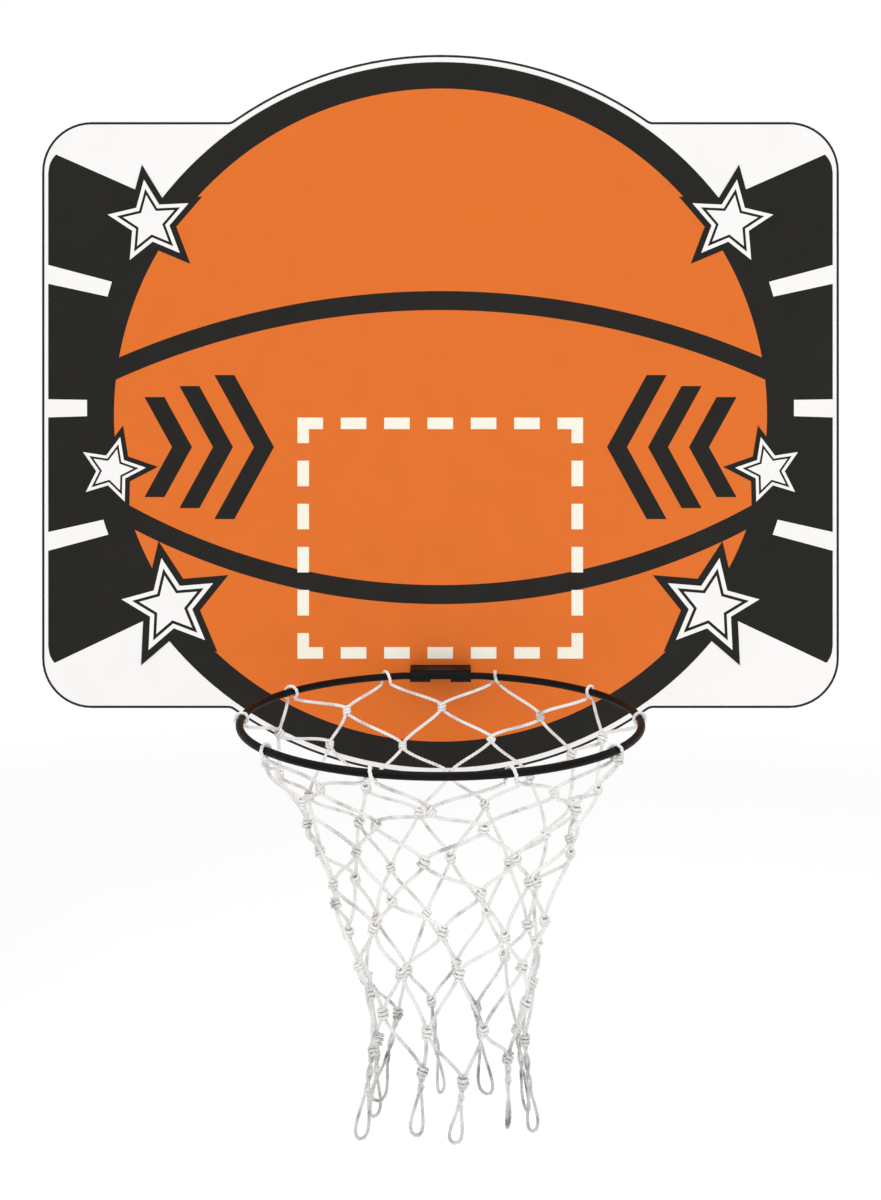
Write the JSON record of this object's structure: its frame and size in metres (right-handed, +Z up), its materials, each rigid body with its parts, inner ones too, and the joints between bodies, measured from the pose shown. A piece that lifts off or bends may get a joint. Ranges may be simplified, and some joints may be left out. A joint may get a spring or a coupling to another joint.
{
  "type": "basketball backboard",
  "caption": "Wall-hung basketball backboard for indoor play: rounded board with a ball-shaped bulge, fold-up wire rim and a tapered knotted net.",
  "frame": {"origin": "on the wall plane, midway between the two keyholes in the hangers behind the board", "axes": "+X to the right as the player sees it, +Y into the wall, +Z up; the printed face looks along -Y"},
  "size_m": [0.48, 0.2391, 0.583],
  "materials": {
    "fibreboard": "raw pressed fibre, matt",
    "printed_sheet": "printed laminate, satin",
    "edge_black": "satin edging",
    "black_paint": "semi-gloss powder coat",
    "zinc": "zinc plated",
    "rubber_black": "matt",
    "white_twine": "twisted white twine"
  },
  "bodies": {
    "board": {"board_core": "fibreboard", "face_sheet": "printed_sheet", "edge_band": "edge_black", "hinge_leaf": "black_paint", "hinge_bolts": "zinc", "hinge_washers": "zinc", "hinge_nuts": "zinc", "hanger_left": "zinc", "hanger_right": "zinc", "hanger_screws": "zinc", "pad_left": "rubber_black", "pad_right": "rubber_black"},
    "hoop": {"rim": "black_paint", "stop_tab": "black_paint", "net_hitches": "white_twine", "net_mesh": "white_twine", "net_tail_loops": "white_twine"}
  },
  "joints": [
    {"name": "rim_fold", "type": "hinge", "parent": "board", "child": "hoop", "pos_m": [0, -0.0305, -0.264], "axis": [-1, 0, 0], "range_deg": [0, 92], "deforming": ["net_mesh", "net_tail_loops"]}
  ]
}
